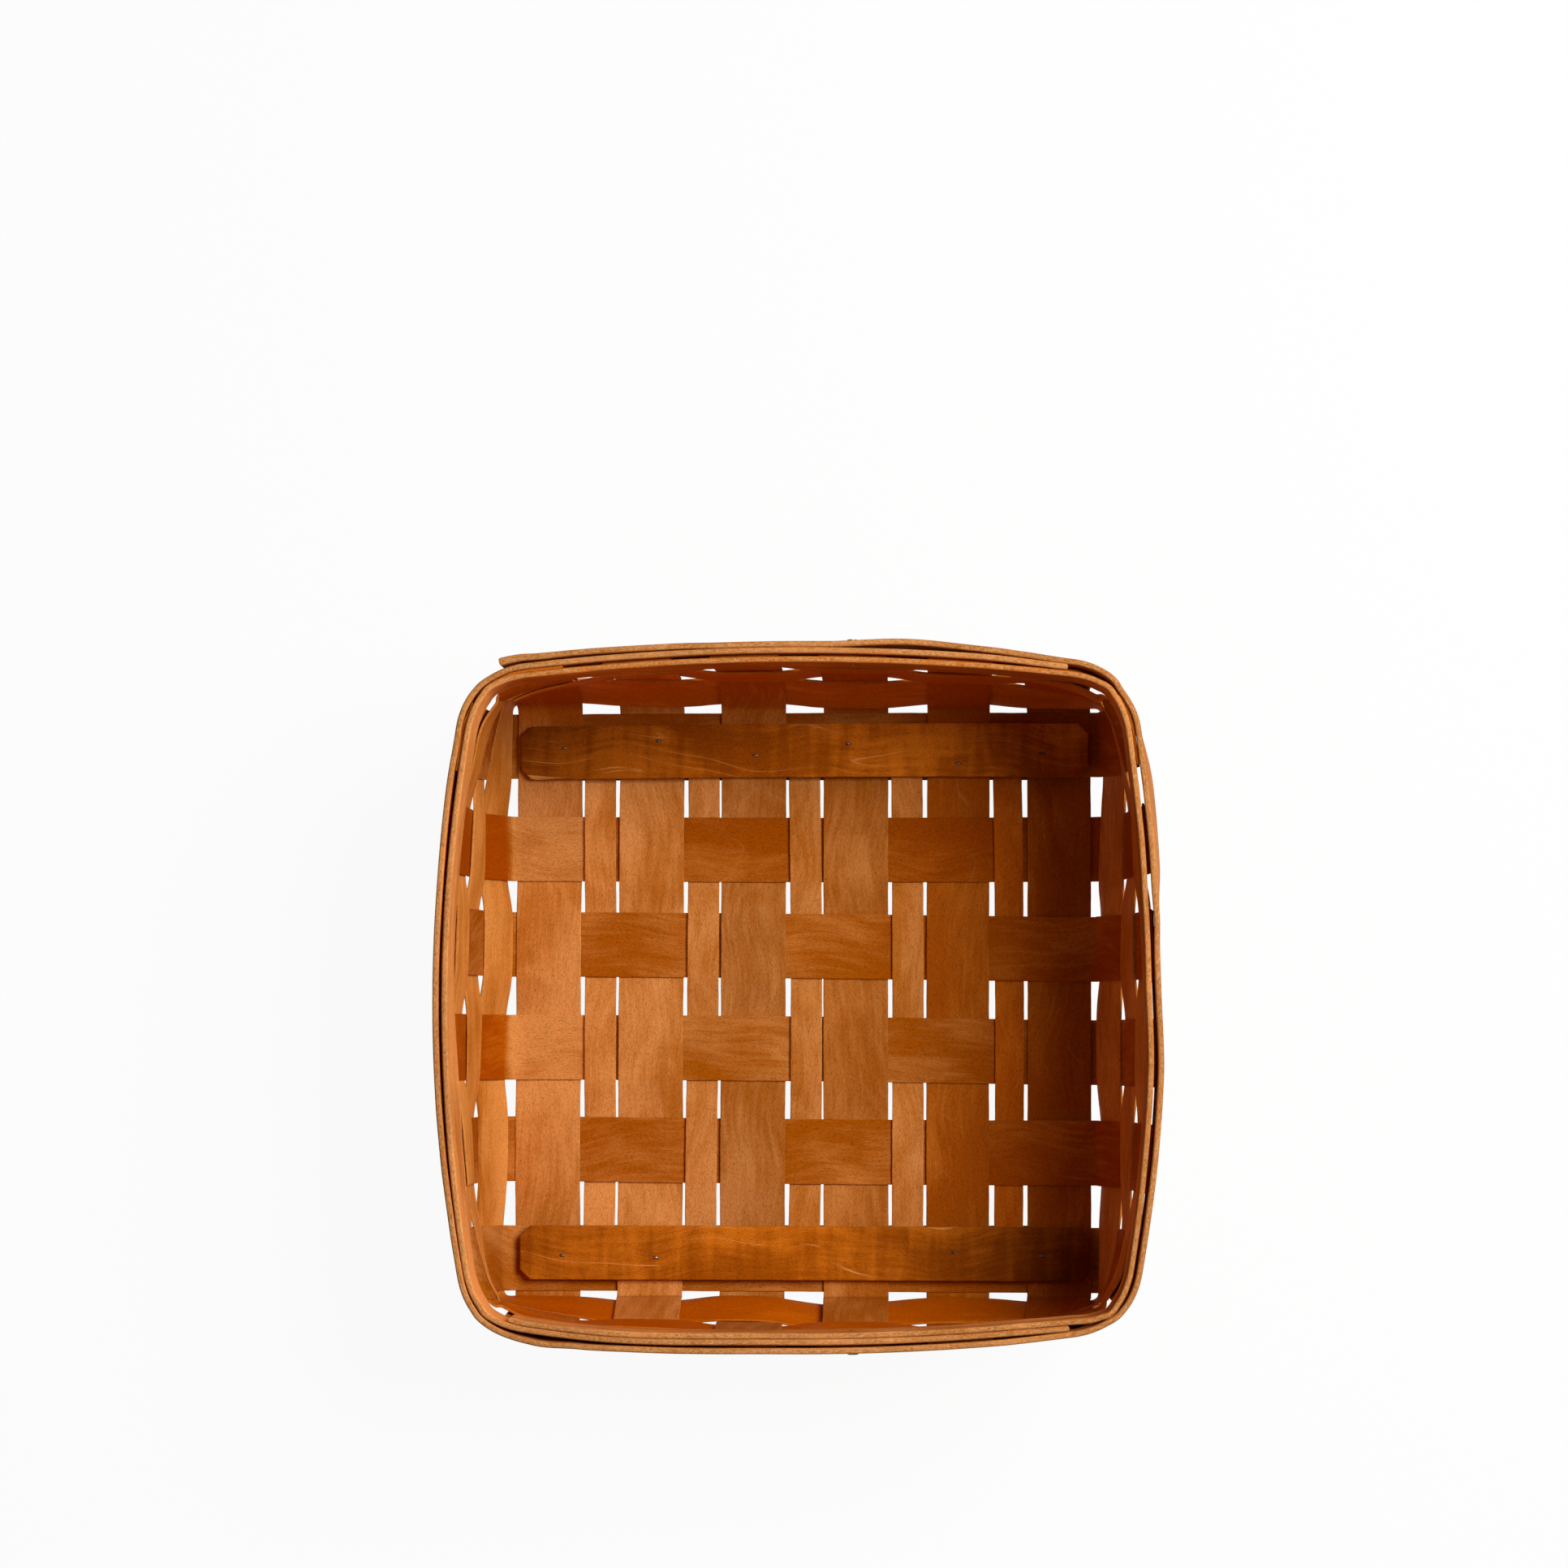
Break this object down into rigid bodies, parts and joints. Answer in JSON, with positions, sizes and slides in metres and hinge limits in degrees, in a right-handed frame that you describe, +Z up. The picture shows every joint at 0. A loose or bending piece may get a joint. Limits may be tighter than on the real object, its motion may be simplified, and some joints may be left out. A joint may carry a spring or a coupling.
{
  "type": "square splint basket",
  "caption": "Open square basket woven from flat wooden splints, with a double hoop rim and nailed cleats and runners that keep its base flat.",
  "frame": {"origin": "on the ground, below the middle of the basket's bounding box", "axes": "+Z up, out of the opening; +X along the cleats and the crosswise stakes; +Y towards the far wall, where the outer hoop laps itself"},
  "size_m": [0.2692, 0.2642, 0.1169],
  "materials": {
    "lengthwise_wood": "light orange-brown stain, satin",
    "crosswise_wood": "orange-brown stain, satin",
    "band_wood": "orange-brown stain, satin",
    "hoop_wood": "orange-brown stain, satin, pale fibrous edges",
    "cleat_wood": "darker orange-brown stain, satin",
    "steel": "dull bright steel"
  },
  "bodies": {
    "root": {"lengthwise_stake_1": "lengthwise_wood", "lengthwise_stake_2": "lengthwise_wood", "lengthwise_stake_3": "lengthwise_wood", "lengthwise_stake_4": "lengthwise_wood", "lengthwise_stake_5": "lengthwise_wood", "lengthwise_stake_6": "lengthwise_wood", "crosswise_stake_1": "crosswise_wood", "crosswise_stake_2": "crosswise_wood", "crosswise_stake_3": "crosswise_wood", "crosswise_stake_4": "crosswise_wood", "crosswise_stake_5": "crosswise_wood", "crosswise_stake_6": "crosswise_wood", "filler_1": "lengthwise_wood", "filler_2": "lengthwise_wood", "filler_3": "lengthwise_wood", "filler_4": "lengthwise_wood", "filler_5": "lengthwise_wood", "lower_band": "band_wood", "middle_band": "band_wood", "upper_band": "band_wood", "inner_hoop": "hoop_wood", "outer_hoop": "hoop_wood", "near_cleat": "cleat_wood", "far_cleat": "cleat_wood", "near_runner": "cleat_wood", "far_runner": "cleat_wood", "near_nail_1": "steel", "near_nail_2": "steel", "near_nail_3": "steel", "near_nail_4": "steel", "near_nail_5": "steel", "near_nail_6": "steel", "far_nail_1": "steel", "far_nail_2": "steel", "far_nail_3": "steel", "far_nail_4": "steel", "far_nail_5": "steel", "far_nail_6": "steel", "near_rim_tack": "steel", "far_rim_tack": "steel"}
  },
  "joints": []
}
